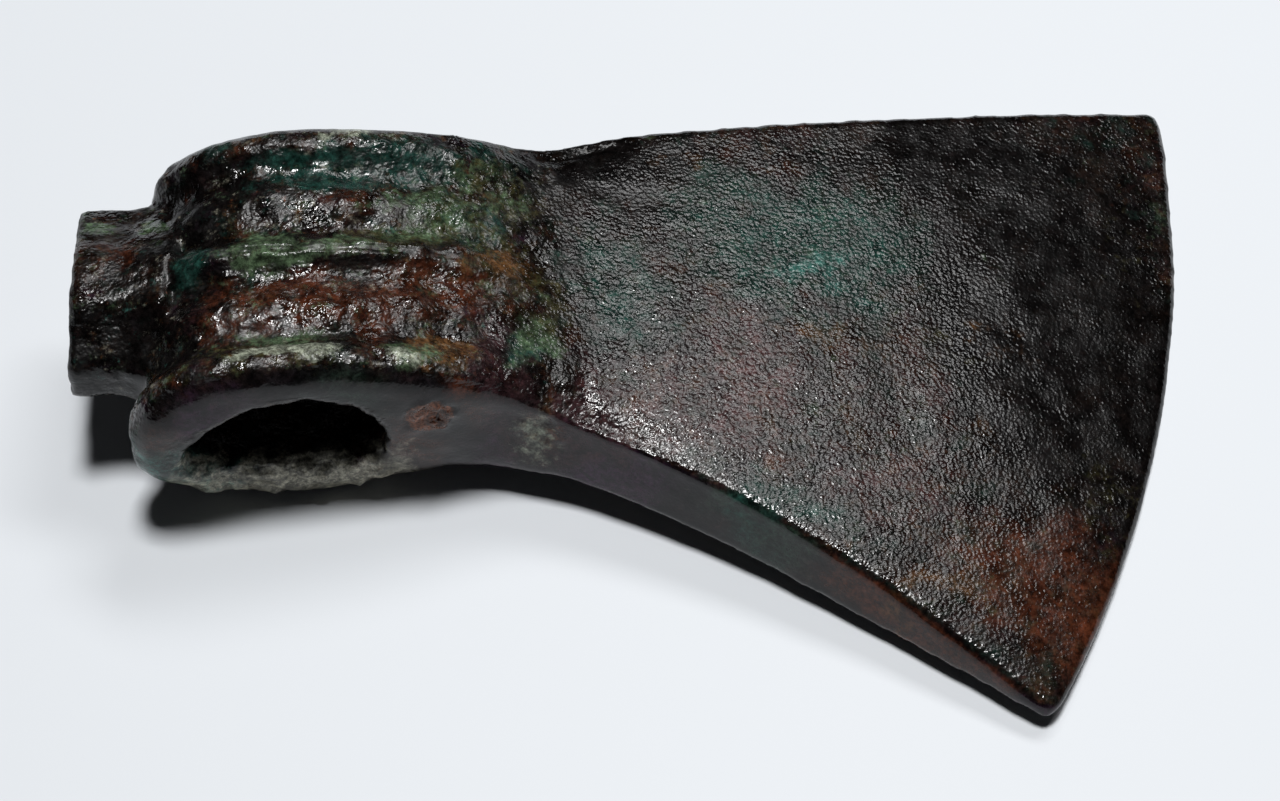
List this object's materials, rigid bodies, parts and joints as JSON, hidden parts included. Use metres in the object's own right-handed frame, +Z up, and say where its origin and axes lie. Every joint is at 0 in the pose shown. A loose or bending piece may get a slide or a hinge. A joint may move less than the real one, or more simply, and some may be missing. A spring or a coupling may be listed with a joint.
{
  "type": "bronze age axe head",
  "caption": "Cast bronze shaft-hole axe head with a ribbed socket, a faceted butt stub and a flaring curved blade, lying on its cheek.",
  "frame": {"origin": "bottom centre of the bounding box of the axe head as it lies on its cheek", "axes": "+X from the butt towards the cutting edge, +Y along the shaft hole towards the upper mouth, +Z up through the thickness"},
  "size_m": [0.1804, 0.1112, 0.0366],
  "materials": {
    "bronze": "dark green-brown corroded bronze patina under a glossy wax"
  },
  "bodies": {
    "root": {"axe_head": "bronze"}
  },
  "joints": []
}
